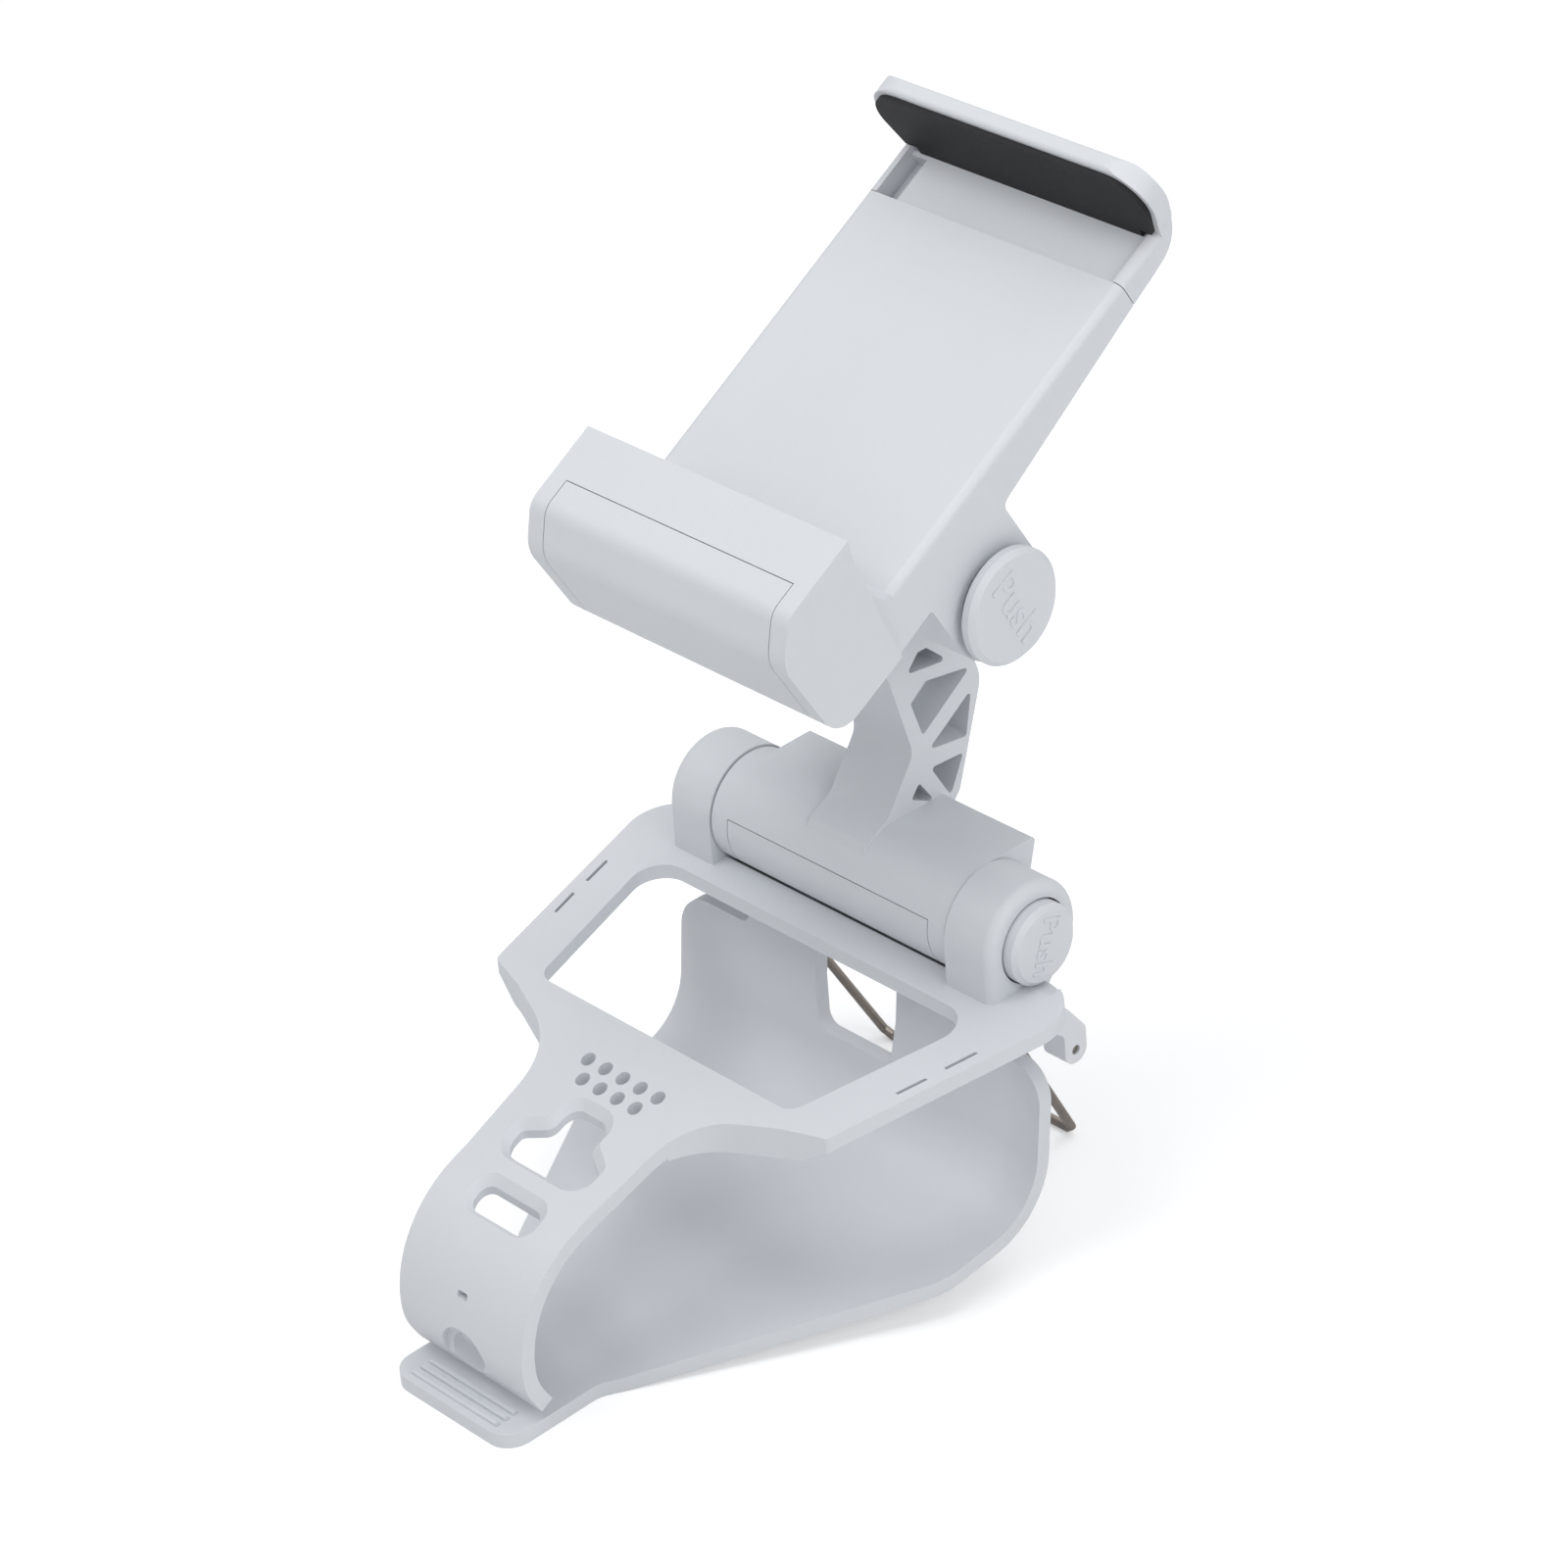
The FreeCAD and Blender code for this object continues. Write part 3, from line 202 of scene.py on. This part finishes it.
# %% Give every CAD piece its finish
FINISHES = {"pale_plastic": pale, "grip_rubber": rubber, "steel_wire": wire,
            "spring_steel": bright, "pin_steel": bright}
slot_of = {part["node"]: part["material_slot"] for part in frame["record"]["subparts"]}
for name, piece in frame["nodes"].items():
    piece.data.materials.clear()
    piece.data.materials.append(FINISHES[slot_of[name]])
print("finished", len(frame["nodes"]), "CAD pieces")

# %% [markdown]
# Each push button carries the word for what to do with it, raised a hair from its face.
# It is a text object with a little depth and a soft edge, turned to face along +X, made a
# mesh, and then its place is applied so that it sits in the row frame like the CAD pieces.

# %% Raised words on the push buttons
HALF_DEPTH = 0.00012
SOFT_EDGE = 0.00005


def raised_word(name, body, face_x, centre_y, centre_z, height, turn):
    bpy.ops.object.select_all(action="DESELECT")
    bpy.ops.object.text_add(location=(0, 0, 0))
    word = bpy.context.object
    word.name = name
    word.data.body = "Push"
    word.data.align_x, word.data.align_y = "CENTER", "CENTER"
    word.data.size = height
    word.data.extrude = HALF_DEPTH
    word.data.bevel_depth = SOFT_EDGE
    word.data.resolution_u = 6
    bpy.ops.object.convert(target="MESH")
    upright = Matrix(((0, 0, 1), (1, 0, 0), (0, 1, 0))).to_4x4()
    word.matrix_world = (Matrix.Translation((face_x, centre_y, centre_z))
                         @ Matrix.Rotation(math.radians(turn), 4, "X") @ upright)
    bpy.ops.object.transform_apply(location=True, rotation=True, scale=True)
    word.data.materials.clear()
    word.data.materials.append(pale)
    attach(word, body)
    print(name, "has", len(word.data.polygons), "faces")
    return word


def middle(node):
    low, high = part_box(node)
    return high[0], (low[1] + high[1]) / 2, (low[2] + high[2]) / 2


upper_face, upper_y, upper_z = middle("upper_button")
lower_face, lower_y, lower_z = middle("lower_button")
raised_word("upper_button_word", "upper_button", upper_face, upper_y, upper_z, 0.0068, -62)
raised_word("lower_button_word", "lower_button", lower_face, lower_y, lower_z, 0.0052, -109)

# %% [markdown]
# The floor is a plain pale sheet. For the camera alone it also glows a little, so that it
# looks white except where the object shades it. The glow throws no light on the object.

# %% Floor
FLOOR_WIDTH = 6.0
GLOW = 0.3

bpy.ops.object.select_all(action="DESELECT")
bpy.ops.mesh.primitive_plane_add(size=FLOOR_WIDTH, location=(0, 0, 0))
floor = bpy.context.object
floor.name = "floor"
sheet_finish = Finish("floor_sheet", Roughness=0.85, Specular_IOR_Level=0.1, Emission_Strength=GLOW)
tint = sheet_finish.noise(3.0, detail=2.0)
sheet_finish.feed("Base Color", sheet_finish.blend(tint, (0.90, 0.90, 0.90, 1), (0.93, 0.93, 0.93, 1)))
seen_by_camera = sheet_finish.node("ShaderNodeLightPath", output="Is Camera Ray")
sheet_finish.feed("Emission Color", sheet_finish.blend(seen_by_camera, (0, 0, 0, 1), (1, 1, 1, 1)))
floor.data.materials.append(sheet_finish.material)

# %% [markdown]
# Soft light from an even world and three large lamps. What the camera and glossy surfaces
# see of the world is white, at strength 1, while the light that it gives is weaker. The key
# lamp stands high in front, a little to the left, the fill to the right, the top lamp behind.

# %% World and lamps
LIGHT_GIVEN = 0.42
WHITE = 1.0
AIM = (0, 0, 0.08)

world = bpy.data.worlds.new("studio")
bpy.context.scene.world = world
world.use_nodes = True
tree = world.node_tree
tree.nodes.clear()
out = tree.nodes.new("ShaderNodeOutputWorld")
mix = tree.nodes.new("ShaderNodeMixShader")
lit = tree.nodes.new("ShaderNodeBackground")
seen = tree.nodes.new("ShaderNodeBackground")
path = tree.nodes.new("ShaderNodeLightPath")
lit.inputs["Color"].default_value = (0.95, 0.97, 1.0, 1)
lit.inputs["Strength"].default_value = LIGHT_GIVEN
seen.inputs["Color"].default_value = (1, 1, 1, 1)
seen.inputs["Strength"].default_value = WHITE
camera_ray = Socket(tree, path.outputs["Is Camera Ray"])
either = camera_ray.larger(Socket(tree, path.outputs["Is Glossy Ray"]))
tree.links.new(either.output, mix.inputs["Fac"])
tree.links.new(lit.outputs[0], mix.inputs[1])
tree.links.new(seen.outputs[0], mix.inputs[2])
tree.links.new(mix.outputs[0], out.inputs[0])


def lamp(name, spot, width, power):
    data = bpy.data.lights.new(name, "AREA")
    data.size = width
    data.energy = power
    holder = bpy.data.objects.new(name, data)
    bpy.context.collection.objects.link(holder)
    holder.location = spot
    holder.rotation_euler = (Vector(AIM) - Vector(spot)).to_track_quat("-Z", "Y").to_euler()
    print("lamp", name, power, "W")


lamp("key", (-0.20, -0.42, 0.96), 0.6, 4.2)
lamp("fill", (0.80, -0.10, 0.50), 0.6, 2.6)
lamp("top", (0.1, 0.35, 0.95), 0.7, 2.0)

# %% [markdown]
# The camera stands in front, to the right and above, far away with a long lens, and is
# turned a little about its own axis, so the object leans in the picture as it should.

# %% Camera
IMAGE_PIXELS = 1600
FOCAL_PIXELS = 5500
SENSOR_WIDTH = 36.0
EYE = (0.510, -0.4421, 0.4946)

camera_data = bpy.data.cameras.new("camera")
camera = bpy.data.objects.new("camera", camera_data)
bpy.context.collection.objects.link(camera)
right = Vector((0.6913, 0.7188, -0.0692)).normalized()
up = Vector((-0.3393, 0.4079, 0.8475)).normalized()
back = right.cross(up).normalized()
up = back.cross(right)
turned = Matrix((right, up, back)).transposed().to_4x4()
camera.matrix_world = Matrix.Translation(EYE) @ turned
camera_data.sensor_width = SENSOR_WIDTH
camera_data.lens = SENSOR_WIDTH * FOCAL_PIXELS / IMAGE_PIXELS
camera_data.clip_start = 0.01
bpy.context.scene.camera = camera

# %% Colour as written
bpy.context.scene.view_settings.view_transform = "Standard"
